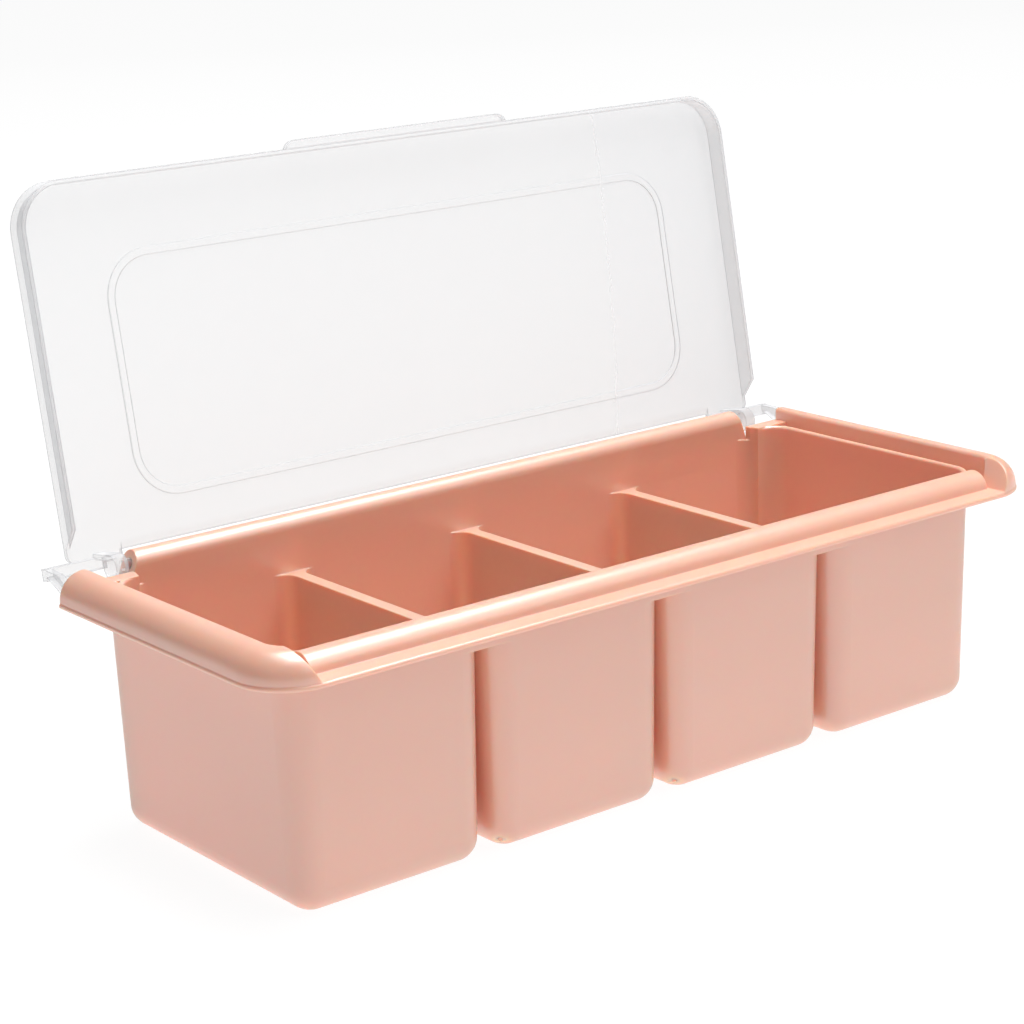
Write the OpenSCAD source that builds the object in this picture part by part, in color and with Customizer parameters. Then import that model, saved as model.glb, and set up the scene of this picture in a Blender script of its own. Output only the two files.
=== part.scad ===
// Condiment caddy: a moulded tray with four bins and one hinged lid.
// Millimetres, +Z up. X runs along the row of bins, the hinge is at the back
// (+Y), and the lid is drawn open, leaning back on its stops. The modules are
// drawn about the middle of the tray's base, and placed() moves the whole so
// that the origin is under the middle of the open caddy.

/* [Tray body] */
// Length over the outer walls, just under the flange
body_l = 308.2; // [280:0.2:340]
// Depth front to back over the outer walls, just under the flange
body_w = 114.8; // [100:0.2:130]
// Height of the flange top
body_h = 83.3; // [70:0.1:100]
// Outer corner radius at the flange
corner_r = 10.5; // [10:0.1:11]
// Inner corner radius beside the dividers
bin_r = 6.2; // [5:0.1:6.5]
// Draft of the walls in degrees
draft = 1.35; // [0.8:0.05:1.4]
// Outer wall thickness at the flange
wall = 2.2; // [2:0.1:2.4]
// Floor thickness
floor_t = 2.2; // [1.8:0.1:3]
// Outer radius round the foot of each bin
foot_r = 8.2; // [6:0.1:8.4]
// Inner radius round the floor of each bin
floor_r = 3.2; // [2.5:0.1:3.6]
// Gap between neighbouring bins, at the flange
groove = 1.2; // [1:0.1:2]
// Thickness of each wall beside a gap
div_wall = 1.8; // [1.6:0.1:2.2]
// Distance from the flange top down to the top of the dividers
div_drop = 8.9; // [6:0.1:12]
// Thickness of the web that closes each gap at the top
web_t = 1.2; // [1:0.1:3]

/* [Flange and rims] */
// How far the flange stands out at each side
flange_side = 15.9; // [14:0.1:18]
// How far the flange stands out at the front
flange_front = 15.6; // [14:0.1:18]
// Flange thickness
flange_t = 2; // [1.6:0.1:2.4]
// Corner radius of the flange at the front
flange_r = 20; // [18:0.1:20]
// Outer radius of the side rims
rim_r = 9.3; // [9:0.1:9.5]
// How far the flange edge stands out past the side rims
rim_in = 0.4; // [0.2:0.1:0.8]
// Width of the flat land on top of the side rims
rim_land = 2.1; // [1.8:0.1:2.2]
// Thickness of the rims
rim_t = 1.8; // [1.4:0.1:2]
// Distance from the outer back wall forward to the cut ends of the side rims
rim_cut = 2.4; // [2:0.1:6]
// Lean of the closed front ends of the rims, over their height
rim_lean = 5; // [3:0.1:6]
// Height of the free wall edge over the flange
lip_h = 5.1; // [4:0.1:5.4]
// Radius of the rolled front edge
roll_r = 6.5; // [6:0.1:7]
// Distance from the end of the rolled front edge to the outer side wall
roll_end = 3.8; // [3:0.1:10]

/* [Hinge] */
// Distance from the outer back wall to the hinge line
hinge_back = 2.6; // [2.6:0.1:3.5]
// Height of the hinge line over the flange top
hinge_up = 6.3; // [6.2:0.1:7]
// Radius of the barrel
barrel_r = 4.7; // [4.4:0.1:4.7]
// Length of the notch at each end of the barrel, to the outer side wall
notch_l = 12.1; // [11:0.1:14]
// How much the ends of the barrel lean in, from the flange to the top
barrel_lean = 3.6; // [0:0.1:4]
// Radius of the lid's pins
pin_r = 2; // [1.5:0.1:2.4]
// Depth of the sockets in the ends of the barrel
socket_l = 10; // [8:0.1:12]
// Running clearance round the pins
pin_gap = 0.08; // [0.04:0.01:0.1]
// Depth of the corner posts beside the barrel
post_w = 6.3; // [5:0.1:7]
// Gap between the barrel ends and the lid's ears, at the flange
ear_gap = 0.4; // [0.3:0.1:1]

/* [Lid] */
// Opening angle from closed, in degrees
open_angle = 100; // [95:1:100]
// How far the lid stands out past each side of the body
lid_side = 2.9; // [2:0.1:3.2]
// Distance from the front edge of the flange back to the closed lid
lid_inset = 1.9; // [1:0.1:4]
// Distance from the hinge line forward to the back edge of the closed lid
lid_rear = 2.6; // [2:0.1:4]
// Height of the lid top over the hinge line, closed
lid_up = 12.2; // [12:0.1:13]
// Panel thickness
panel_t = 1.8; // [1.4:0.1:2.2]
// Skirt depth, from the top face
skirt_h = 8.5; // [6:0.1:8.5]
// Skirt thickness
skirt_t = 1.5; // [1.2:0.1:2]
// Distance from the back edge to the full depth of the skirt
skirt_end = 12.4; // [10:0.1:20]
// Length over which the skirt tapers away at the back
skirt_taper = 7; // [3:0.1:9]
// Corner radius at the front
lid_r = 16.5; // [12:0.5:18]
// Finger tab length
tab_l = 100; // [60:1:120]
// How far the tab stands out
tab_w = 2.9; // [2:0.1:3.5]
// Tab thickness
tab_t = 2.4; // [1.8:0.1:3]
// Corner radius of the tab
tab_r = 5; // [3:0.1:6]
// Distance from the lid's sides to the raised line
line_side = 31; // [20:0.1:50]
// Distance from the front edge to the raised line
line_front = 26.5; // [20:0.1:40]
// Distance from the back edge to the raised line
line_back = 15.9; // [14:0.1:30]
// Corner radius of the raised line
line_r = 17.5; // [8:0.1:20]
// Width of the raised line
line_w = 2.7; // [0.8:0.1:3]
// Height of the raised line
line_h = 0.4; // [0.2:0.1:0.8]
// Width of the thinned lip along the back edge
lip_w = 3; // [2:0.1:5]
// How much the lip is set in from the rest of the back edge
lip_in = 1.35; // [0.5:0.05:2]
// Thickness of the lip at its edge
lip_t = 0.8; // [0.6:0.1:1.2]
// Radius of the ears
ear_r = 4.5; // [4:0.1:4.6]
// Width of each ear
ear_w = 4.8; // [4:0.1:6]
// Thickness of the straps that carry the ears
strap_t = 2; // [1.6:0.1:2.2]
// Thickness of the stop arms
arm_t = 2.5; // [2:0.1:3]
// Length of the stop arms
arm_l = 20; // [18:0.1:21]
// Distance from the flange edge to the stop arms
arm_in = 3.5; // [3.2:0.1:4]

/* [Hidden] */
$fn = 96;
e = 0.5;
bx = body_l / 2;
by = body_w / 2;
ix = bx - wall;
iy = by - wall + 0.1;
in_r = corner_r - wall;
div_x = body_l / 4;
div_z = body_h - div_drop;
web_z = div_z - web_t;
slope = tan(draft);
core_y = by - corner_r;
side_gap = groove / 2 + div_wall;
plate_z = body_h - flange_t;
flange_x = bx + flange_side;
flange_y = by + flange_front;
rim_x = flange_x - flange_r;
rim_y = flange_y - flange_r;
rim_z = body_h + rim_in;
rim_back = by - rim_cut;
land_r = flange_r - rim_in - rim_r;
face_r = land_r - rim_land;
tip_r = 1.5;
end_x = rim_x + 1.6;
roll_x = bx - roll_end;
roll_y = by + 1.1;
roll_z = body_h - 0.5;
hinge_y = by + hinge_back;
hinge_z = body_h + hinge_up;
barrel_x = bx - notch_l;
step_x = barrel_x + 0.5;
step_y = iy - post_w;
ear_x = barrel_x + ear_gap;
lip_z = body_h + lip_h;
lid_x = bx + lid_side;
lid_front = flange_y - lid_inset;
lid_back = hinge_y - lid_rear;
lid_z = hinge_z + lid_up;
skirt_z = lid_z - skirt_h;
under_z = lid_z - panel_t;
lip_x = barrel_x - 6;
arm_x = flange_x - arm_in;
open_y = hinge_y - (lid_front + hinge_y) * cos(open_angle) + lid_up * sin(open_angle);
mid_y = (open_y - flange_y) / 2;

function r_out(z) = corner_r - (body_h - z) * slope;

// ---------- shared shapes ----------

module placed() {
    translate([0, -mid_y, 0]) children();
}

module both() {
    children();
    mirror([1, 0, 0]) children();
}

// Rounded rectangle between two corners
module plan(x0, y0, x1, y1, r) {
    translate([x0 + r, y0]) square([x1 - x0 - 2 * r, y1 - y0]);
    translate([x0, y0 + r]) square([x1 - x0, y1 - y0 - 2 * r]);
    for (x = [x0 + r, x1 - r])
        for (y = [y0 + r, y1 - r])
            translate([x, y]) circle(r);
}

// Children are a profile in radius and height, taken round a rectangle
module around(cx, cy) {
    for (sx = [0, 1])
        mirror([sx, 0, 0]) {
            for (sy = [0, 1])
                mirror([0, sy, 0]) translate([cx, cy, 0])
                    rotate_extrude(angle = 90) children();
            translate([cx, cy, 0]) rotate([90, 0, 0])
                linear_extrude(2 * cy) children();
        }
    for (sy = [0, 1])
        mirror([0, sy, 0]) translate([-cx, cy, 0]) rotate([90, 0, 90])
            linear_extrude(2 * cx) children();
}

// A solid block with that profile on all sides, from two crossed runs and
// four corners, so that no two pieces of a run meet face to face
module block(cx, cy, z0, z1) {
    for (sx = [0, 1])
        for (sy = [0, 1])
            mirror([sx, 0, 0]) mirror([0, sy, 0]) translate([cx, cy, 0])
                rotate_extrude(angle = 90) children();
    translate([-cx, 0, 0]) rotate([90, 0, 90]) linear_extrude(2 * cx)
        full_section(cy, z0, z1) children();
    translate([0, cy, 0]) rotate([90, 0, 0]) linear_extrude(2 * cy)
        full_section(cx, z0, z1) children();
}

module full_section(c, z0, z1) {
    translate([-c, z0]) square([2 * c, z1 - z0]);
    translate([c, 0]) children();
    mirror([1, 0]) translate([c, 0]) children();
}

// Half section of a drafted box with a rounded foot
module half_section(r0, z0, r1, z1, foot) {
    xc = r0 - foot * (1 - sin(draft)) / cos(draft);
    xt = xc + foot * cos(draft);
    zt = z0 + foot * (1 - sin(draft));
    polygon([[0, z0], [xc, z0], [xt, zt], [r1, z1], [0, z1]]);
    intersection() {
        translate([xc, z0 + foot]) circle(foot);
        translate([0, z0]) square([r0 + foot, foot]);
    }
}

// ---------- tray ----------

module bin_outside(x0, x1) {
    z = div_z - 0.4;
    foot = min(foot_r, r_out(0) - 0.1);
    translate([(x0 + x1) / 2, 0, 0]) block((x1 - x0) / 2 - corner_r, core_y, 0, z)
        half_section(r_out(0), 0, r_out(z), z, foot);
}

module bin_inside(x0, x1, y0, y1, r, foot) {
    translate([(x0 + x1) / 2, (y0 + y1) / 2, 0])
        block((x1 - x0) / 2 - r, (y1 - y0) / 2 - r, floor_t, div_z)
            half_section(r - (div_z - floor_t) * slope, floor_t, r, div_z, foot);
}

// An outer bin is narrower at the back, beside the corner post
module end_bin_inside() {
    x0 = div_x + side_gap;
    bin_inside(x0, ix, -iy, step_y, in_r, floor_r);
    bin_inside(x0, step_x, -iy / 3, iy, bin_r, floor_r);
}

// The open space inside the walls, seen from above
module inside_plan() {
    plan(-ix, -iy, ix, step_y, in_r);
    plan(-step_x, -iy, step_x, iy, bin_r);
}

module rim_section() {
    intersection() {
        translate([land_r, rim_z]) circle(rim_r);
        translate([land_r, rim_z]) square(rim_r);
    }
    translate([face_r, body_h - e]) square([rim_land, rim_z + rim_r - body_h + e - tip_r]);
    translate([face_r + tip_r, body_h - e])
        square([rim_land - tip_r, rim_z + rim_r - body_h + e]);
    translate([face_r + tip_r, rim_z + rim_r - tip_r]) circle(tip_r);
    translate([land_r, body_h - e]) square([rim_r, rim_in + e]);
}

module rim_hollow_section() {
    intersection() {
        translate([land_r, rim_z]) circle(rim_r - rim_t);
        translate([face_r + rim_t, rim_z]) square(rim_r + rim_land);
    }
    translate([face_r + rim_t, plate_z - e])
        square([land_r + rim_r - 2 * rim_t - face_r, rim_z - plate_z + e]);
}

// Children are a section taken along one side rim and round its front corner
module along_rim(y1) {
    translate([rim_x, y1, 0]) rotate([90, 0, 0])
        linear_extrude(y1 + rim_y) children();
    translate([rim_x, -rim_y, 0]) rotate([0, 0, -90])
        rotate_extrude(angle = 90) children();
}

// Everything on the middle side of a rim's leaning end face
module rim_end(x) {
    h = rim_z + rim_r - body_h;
    translate([0, -rim_y - e, 0]) rotate([90, 0, 0]) linear_extrude(flange_r + e)
        polygon([[rim_x - e, body_h], [x, body_h],
                 [x + rim_lean * 1.2, body_h + h * 1.2],
                 [rim_x - e, body_h + h * 1.2]]);
}

module side_rim() {
    difference() {
        along_rim(rim_back) rim_section();
        rim_end(end_x);
    }
}

module side_rim_hollow() {
    difference() {
        along_rim(rim_back + e) rim_hollow_section();
        rim_end(end_x + rim_t);
        translate([rim_x - e, -flange_y, plate_z - 2 * e])
            cube([end_x + rim_t - rim_x + e, flange_r, flange_t + 2 * e]);
    }
}

module flange() {
    r = flange_t / 2;
    translate([0, 0, plate_z]) linear_extrude(flange_t) difference() {
        plan(-flange_x + r, -flange_y + r, flange_x - r, rim_back + flange_r, flange_r - r);
        translate([-flange_x, rim_back]) square([2 * flange_x, 2 * flange_r]);
    }
    both() along_rim(rim_back) translate([flange_r - r, plate_z + r]) circle(r);
    translate([-rim_x, r - flange_y, plate_z + r]) rotate([0, 90, 0])
        cylinder(r = r, h = 2 * rim_x);
}

module roll_section(r, y1, z0) {
    intersection() {
        translate([-roll_y, roll_z]) circle(r);
        translate([-roll_y - r, z0]) square([r + roll_y - y1, r + body_h - z0]);
    }
}

module front_roll() {
    translate([-roll_x, 0, 0]) rotate([90, 0, 90]) linear_extrude(2 * roll_x)
        roll_section(roll_r, iy, body_h - e);
}

module front_roll_hollow() {
    r = roll_r - flange_t;
    translate([flange_t - roll_x, 0, 0]) rotate([90, 0, 90])
        linear_extrude(2 * (roll_x - flange_t)) {
            roll_section(r, by, roll_z);
            translate([-roll_y - r, plate_z - e])
                square([r + roll_y - by, roll_z - plate_z + e]);
        }
}

module wall_lip() {
    h = (step_y + wall + by) / 2 - corner_r;
    translate([0, (step_y + wall - by) / 2, 0]) around(bx - corner_r, h) {
        translate([in_r, body_h - e]) square([wall, lip_h + e - wall / 2]);
        translate([in_r + wall / 2, body_h + lip_h - wall / 2]) circle(wall / 2);
    }
}

module barrel_section(r, z0) {
    translate([hinge_y, hinge_z]) circle(r);
    translate([hinge_y - r, z0]) square([2 * r, hinge_z - z0]);
}

module barrel() {
    k = barrel_lean / (hinge_up + barrel_r);
    difference() {
        translate([-barrel_x, 0, 0]) rotate([90, 0, 90])
            linear_extrude(2 * barrel_x) barrel_section(barrel_r, plate_z);
        both() translate([barrel_x, hinge_y + 2 * barrel_r, body_h]) rotate([90, 0, 0])
            linear_extrude(4 * barrel_r) polygon([[0, 0], [e, 0], [e, 2 * hinge_up],
                [-k * 2 * hinge_up, 2 * hinge_up]]);
    }
}

module barrel_hollow() {
    x = barrel_x - socket_l - flange_t;
    translate([-x, 0, 0]) rotate([90, 0, 90]) linear_extrude(2 * x)
        barrel_section(hinge_back, plate_z - e);
}

module socket() {
    translate([barrel_x - socket_l, hinge_y, hinge_z]) rotate([0, 90, 0])
        cylinder(r = pin_r + pin_gap, h = socket_l + 1);
}

// Fills the corner from the barrel to the side rim, level with the wall edge
module corner_post() {
    translate([step_x - 1, step_y, plate_z])
        cube([rim_x + face_r + 1 - step_x + 1, rim_back - step_y, lip_z - plate_z]);
}

module tray() {
    color([0.93, 0.75, 0.69]) difference() {
        union() {
            both() {
                bin_outside(groove / 2, div_x - groove / 2);
                bin_outside(div_x + groove / 2, bx);
                side_rim();
                corner_post();
            }
            block(bx - corner_r, core_y, web_z, body_h)
                polygon([[0, web_z], [r_out(web_z), web_z],
                         [corner_r, body_h], [0, body_h]]);
            flange();
            wall_lip();
            front_roll();
            barrel();
        }
        translate([0, 0, div_z]) linear_extrude(30) inside_plan();
        both() {
            bin_inside(side_gap, div_x - side_gap, -iy, iy, bin_r, floor_r);
            end_bin_inside();
        }
        both() {
            side_rim_hollow();
            socket();
        }
        front_roll_hollow();
        barrel_hollow();
    }
}

// ---------- lid, drawn closed ----------

module lid_plan(inset) {
    x = lid_x - inset;
    plan(-x, inset - lid_front, x, lid_back - lid_r, lid_r - inset);
    difference() {
        plan(-x, 0, x, lid_back - inset, 3);
        translate([-x, -e]) square([2 * x, lid_r]);
    }
}

module lid_panel() {
    difference() {
        translate([0, 0, under_z]) linear_extrude(panel_t) difference() {
            lid_plan(0);
            translate([-lip_x, lid_back - lip_in]) square([2 * lip_x, lip_in + e]);
        }
        translate([-lip_x, 0, 0]) rotate([90, 0, 90]) linear_extrude(2 * lip_x)
            polygon([[lid_back - lip_in - lip_w, under_z],
                     [lid_back - lip_in + e, lid_z - lip_t],
                     [lid_back - lip_in + e, under_z - e],
                     [lid_back - lip_in - lip_w, under_z - e]]);
    }
}

module lid_skirt() {
    y0 = lid_back - skirt_end;
    difference() {
        translate([0, 0, skirt_z]) linear_extrude(skirt_h - e) difference() {
            lid_plan(0);
            lid_plan(skirt_t);
            translate([-lid_x, y0 + skirt_taper]) square([2 * lid_x, skirt_end]);
        }
        translate([-lid_x - e, 0, 0]) rotate([90, 0, 90])
            linear_extrude(2 * (lid_x + e))
                polygon([[y0, skirt_z - e], [y0, skirt_z],
                         [y0 + skirt_taper, under_z],
                         [lid_back, under_z], [lid_back, skirt_z - e]]);
    }
}

module finger_tab() {
    translate([0, 0, skirt_z]) linear_extrude(tab_t) difference() {
        plan(-tab_l / 2, -lid_front - tab_w, tab_l / 2, 3 * tab_r - lid_front, tab_r);
        translate([-tab_l, skirt_t - 0.2 - lid_front]) square([2 * tab_l, 4 * tab_r]);
    }
}

module line_plan(inset) {
    x = lid_x - line_side - inset;
    plan(-x, line_front - lid_front + inset, x, lid_back - line_back - inset,
         line_r - inset);
}

module panel_line() {
    translate([0, 0, under_z - line_h]) linear_extrude(line_h + e / 2) difference() {
        line_plan(0);
        line_plan(line_w);
    }
}

// An ear on a strap down from the panel, with the pin it turns on
module ear() {
    x = barrel_x - socket_l + 1;
    translate([ear_x, hinge_y, hinge_z]) rotate([0, 90, 0])
        cylinder(r = ear_r, h = ear_w);
    translate([ear_x, hinge_y - ear_r, hinge_z])
        cube([ear_w, strap_t, lid_up - 0.3]);
    translate([x, hinge_y, hinge_z]) rotate([0, 90, 0])
        cylinder(r = pin_r, h = ear_x + 1 - x);
}

module stop_bar() {
    translate([ear_x + 1, lid_back - 0.6, lid_z - 3.3])
        cube([arm_x - ear_x - 1, 4.2, 3]);
}

// The arm is drawn in the open position, where it meets the rim
module stop_arm() {
    k = arm_l / 20;
    translate([arm_x - arm_t, hinge_y, hinge_z]) rotate([90, 0, 90])
        linear_extrude(arm_t) polygon(k * [[12, 0.4], [10, 1.4], [1.4, 1.3],
            [-5, -2.1], [-8.4, -3.3], [-6.8, -7.9], [0.6, -4.6]]);
}

module lid() {
    color([0.93, 0.94, 0.95, 0.55]) union() {
        translate([0, hinge_y, hinge_z]) rotate([-open_angle, 0, 0])
            translate([0, -hinge_y, -hinge_z]) {
                lid_panel();
                lid_skirt();
                finger_tab();
                panel_line();
                both() ear();
                both() stop_bar();
            }
        both() stop_arm();
    }
}

placed() tray();
placed() lid();
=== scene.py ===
import math

import bpy
from mathutils import Matrix, Vector

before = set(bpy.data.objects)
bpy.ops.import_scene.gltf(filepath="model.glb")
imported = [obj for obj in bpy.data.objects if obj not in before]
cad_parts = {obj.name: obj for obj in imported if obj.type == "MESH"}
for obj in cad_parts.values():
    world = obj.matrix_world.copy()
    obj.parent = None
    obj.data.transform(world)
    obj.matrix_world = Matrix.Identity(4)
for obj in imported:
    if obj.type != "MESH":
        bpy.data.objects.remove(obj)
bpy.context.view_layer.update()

scene = bpy.context.scene

# Lengths are in metres, angles in degrees, powers in watts.

# Tray: satin peach plastic
TRAY_DARK = (0.800, 0.466, 0.342, 1)
TRAY_LIGHT = (0.825, 0.488, 0.362, 1)
TRAY_CLOUD_SCALE = 9.0
TRAY_GRAIN_SCALE = 2600.0
TRAY_ROUGHNESS = (0.30, 0.38)
TRAY_EDGE_RADIUS = 0.0007
TRAY_BUMP = 0.06
TRAY_IOR = 1.85
TRAY_SPECULAR = 1.0
TRAY_SCATTER = 0.8
TRAY_SCATTER_RADIUS = (1.0, 0.40, 0.22)
TRAY_SCATTER_SCALE = 0.004

# Lid: frosted see-through plastic
LID_CLEAR = (0.80, 0.81, 0.83, 1)
# Painted shade: grey given to the lid's colour along its edges and the panel's line
LID_PAINTED_EDGE_SHADE = (0.60, 0.61, 0.64, 1)
LID_FROST_SCALE = 420.0
LID_ROUGHNESS = (0.44, 0.50)
LID_EDGE_RADIUS = 0.0006
LID_BUMP = 0.015
LID_IOR = 1.49
LID_GLANCE_IOR = 1.45
LID_GLANCE = (0.03, 0.35)
LID_COVER = (0.18, 0.52)
LID_LINE_RADIUS = 0.0011
LID_LINE_TURN = (0.99, 0.80)
LID_LINE_COVER = 0.55

GRAIN_DETAIL = 2.0
GRAIN_DEPTH = 0.0002

# Studio
FLOOR_HALF = 8.0
FLOOR_GREY = 0.10
FLOOR_GLOW = 0.93
FLOOR_ROUGHNESS = 0.75
FLOOR_SPECULAR = 0.1
AIM = (0, 0, 0.05)
WORLD_STRENGTH = 0.15

# Camera fitted to the photograph's straight edges
CAMERA_AT = (-0.55675, -0.70008, 0.33783)
CAMERA_HEADING = 37.84
CAMERA_TILT = 15.49
CAMERA_ROLL = -2.06
SENSOR_WIDTH = 36
FOCAL_PIXELS = 2605.12
IMAGE_PIXELS = 1024
CLIP = (0.05, 50)


# ---------- materials ----------

def new_material(name):
    """A material with only an output, and the parts that it is built with."""
    material = bpy.data.materials.new(name)
    material.use_nodes = True
    nodes = material.node_tree.nodes
    nodes.clear()
    out = nodes.new("ShaderNodeOutputMaterial")
    shader = nodes.new("ShaderNodeBsdfPrincipled")
    links = material.node_tree.links
    links.new(shader.outputs["BSDF"], out.inputs["Surface"])
    return material, nodes, links, shader


def noise(nodes, links, where, scale, detail):
    node = nodes.new("ShaderNodeTexNoise")
    node.inputs["Scale"].default_value = scale
    node.inputs["Detail"].default_value = detail
    links.new(where.outputs["Object"], node.inputs["Vector"])
    return node.outputs["Fac"]


def map_range(nodes, links, value, source=(0, 1), target=(0, 1)):
    node = nodes.new("ShaderNodeMapRange")
    for name, number in zip(("From Min", "From Max", "To Min", "To Max"), source + target):
        node.inputs[name].default_value = number
    links.new(value, node.inputs["Value"])
    return node.outputs["Result"]


def colour_ramp(nodes, links, value, first, last, ends=(0, 1)):
    node = nodes.new("ShaderNodeValToRGB")
    for element, colour, position in zip(node.color_ramp.elements, (first, last), ends):
        element.position = position
        element.color = colour
    links.new(value, node.inputs["Fac"])
    return node.outputs["Color"]


def rounded(nodes, radius, samples):
    """The normal of the surface with its sharp edges rounded."""
    node = nodes.new("ShaderNodeBevel")
    node.samples = samples
    node.inputs["Radius"].default_value = radius
    return node.outputs["Normal"]


def grain_normal(nodes, links, height, strength, normal):
    node = nodes.new("ShaderNodeBump")
    node.inputs["Strength"].default_value = strength
    node.inputs["Distance"].default_value = GRAIN_DEPTH
    links.new(height, node.inputs["Height"])
    links.new(normal, node.inputs["Normal"])
    return node.outputs["Normal"]


def tray_plastic():
    """Satin peach plastic with a fine moulded grain and slightly uneven colour."""
    material, nodes, links, shader = new_material("tray_plastic")
    where = nodes.new("ShaderNodeTexCoord")

    clouds = noise(nodes, links, where, TRAY_CLOUD_SCALE, 3.0)
    tint = colour_ramp(nodes, links, clouds, TRAY_DARK, TRAY_LIGHT, ends=(0.3, 0.7))
    links.new(tint, shader.inputs["Base Color"])

    grain = noise(nodes, links, where, TRAY_GRAIN_SCALE, GRAIN_DETAIL)
    links.new(map_range(nodes, links, grain, target=TRAY_ROUGHNESS), shader.inputs["Roughness"])
    edge = rounded(nodes, TRAY_EDGE_RADIUS, 6)
    links.new(grain_normal(nodes, links, grain, TRAY_BUMP, edge), shader.inputs["Normal"])

    shader.inputs["IOR"].default_value = TRAY_IOR
    shader.inputs["Specular IOR Level"].default_value = TRAY_SPECULAR
    shader.inputs["Subsurface Weight"].default_value = TRAY_SCATTER
    shader.inputs["Subsurface Radius"].default_value = TRAY_SCATTER_RADIUS
    shader.inputs["Subsurface Scale"].default_value = TRAY_SCATTER_SCALE
    return material


def lid_plastic():
    """Frosted see-through plastic, less clear at a glancing angle and along its edges, where
    painted shade also greys its colour.
    """
    material, nodes, links, shader = new_material("lid_plastic")
    where = nodes.new("ShaderNodeTexCoord")

    frost = noise(nodes, links, where, LID_FROST_SCALE, GRAIN_DETAIL)
    links.new(map_range(nodes, links, frost, target=LID_ROUGHNESS), shader.inputs["Roughness"])
    edge = rounded(nodes, LID_EDGE_RADIUS, 6)
    normal = grain_normal(nodes, links, frost, LID_BUMP, edge)
    links.new(normal, shader.inputs["Normal"])

    glance = nodes.new("ShaderNodeFresnel")
    glance.inputs["IOR"].default_value = LID_GLANCE_IOR
    links.new(normal, glance.inputs["Normal"])
    milk = map_range(nodes, links, glance.outputs["Fac"], LID_GLANCE, LID_COVER)

    # Painted shade: greyer and denser where the rounded normal turns away from the flat one,
    # which is along the moulded edges and the panel's line, where the grey stands in for shade
    flat = nodes.new("ShaderNodeNewGeometry")
    turn = nodes.new("ShaderNodeVectorMath")
    turn.operation = "DOT_PRODUCT"
    links.new(rounded(nodes, LID_LINE_RADIUS, 8), turn.inputs[0])
    links.new(flat.outputs["True Normal"], turn.inputs[1])
    painted_edge_shade_mask = map_range(nodes, links, turn.outputs["Value"], LID_LINE_TURN)
    # Base colour carries the painted edge shade
    colour = colour_ramp(nodes, links, painted_edge_shade_mask, LID_CLEAR, LID_PAINTED_EDGE_SHADE)
    links.new(colour, shader.inputs["Base Color"])
    dense = nodes.new("ShaderNodeMath")
    dense.operation = "MULTIPLY"
    dense.inputs[1].default_value = LID_LINE_COVER
    links.new(painted_edge_shade_mask, dense.inputs[0])
    cover = nodes.new("ShaderNodeMath")
    cover.operation = "MAXIMUM"
    links.new(milk, cover.inputs[0])
    links.new(dense.outputs["Value"], cover.inputs[1])
    links.new(cover.outputs["Value"], shader.inputs["Alpha"])

    shader.inputs["IOR"].default_value = LID_IOR
    return material


def dress(obj, material):
    for slot in obj.material_slots:
        slot.material = material


dress(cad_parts["tray"], tray_plastic())
dress(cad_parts["lid"], lid_plastic())


# ---------- floor and light ----------

def make_floor():
    corners = [(x * FLOOR_HALF, y * FLOOR_HALF, 0) for x, y in ((-1, -1), (1, -1), (1, 1), (-1, 1))]
    mesh = bpy.data.meshes.new("floor")
    mesh.from_pydata(corners, [], [(0, 1, 2, 3)])
    floor = bpy.data.objects.new("floor", mesh)
    scene.collection.objects.link(floor)
    material, nodes, links, shader = new_material("floor_paint")
    shader.inputs["Base Color"].default_value = (FLOOR_GREY, FLOOR_GREY, FLOOR_GREY, 1)
    shader.inputs["Emission Color"].default_value = (1, 1, 1, 1)
    shader.inputs["Emission Strength"].default_value = FLOOR_GLOW
    shader.inputs["Roughness"].default_value = FLOOR_ROUGHNESS
    shader.inputs["Specular IOR Level"].default_value = FLOOR_SPECULAR
    mesh.materials.append(material)


def area_light(name, at, width, height, power):
    """A soft rectangular light that faces the caddy."""
    data = bpy.data.lights.new(name, "AREA")
    data.shape = "RECTANGLE"
    data.size = width
    data.size_y = height
    data.energy = power
    light = bpy.data.objects.new(name, data)
    light.location = at
    light.rotation_mode = "QUATERNION"
    light.rotation_quaternion = (Vector(AIM) - Vector(at)).to_track_quat("-Z", "Y")
    scene.collection.objects.link(light)


def make_world():
    world = bpy.data.worlds.new("studio")
    scene.world = world
    world.use_nodes = True
    background = world.node_tree.nodes["Background"]
    background.inputs["Color"].default_value = (1, 1, 1, 1)
    background.inputs["Strength"].default_value = WORLD_STRENGTH


make_floor()
area_light("key", (0.6, -1.5, 1.6), 1.4, 1.2, 9.5)
area_light("top", (0.35, -0.1, 1.9), 1.4, 1.4, 52)
area_light("back", (1.2, 2.2, 0.9), 3.0, 1.2, 3.5)
make_world()


# ---------- camera ----------

def make_camera():
    heading, tilt, roll = (math.radians(a) for a in (CAMERA_HEADING, CAMERA_TILT, CAMERA_ROLL))
    forward = Vector((math.sin(heading) * math.cos(tilt),
                      math.cos(heading) * math.cos(tilt), -math.sin(tilt)))
    level = forward.cross(Vector((0, 0, 1))).normalized()
    upright = level.cross(forward)
    right = level * math.cos(roll) + upright * math.sin(roll)
    up = right.cross(forward)
    data = bpy.data.cameras.new("camera")
    data.sensor_width = SENSOR_WIDTH
    data.lens = SENSOR_WIDTH * FOCAL_PIXELS / IMAGE_PIXELS
    data.clip_start, data.clip_end = CLIP
    camera = bpy.data.objects.new("camera", data)
    turn = Matrix((right, up, -forward)).transposed().to_4x4()
    camera.matrix_world = Matrix.Translation(CAMERA_AT) @ turn
    scene.collection.objects.link(camera)
    scene.camera = camera


make_camera()
scene.view_settings.view_transform = "Standard"
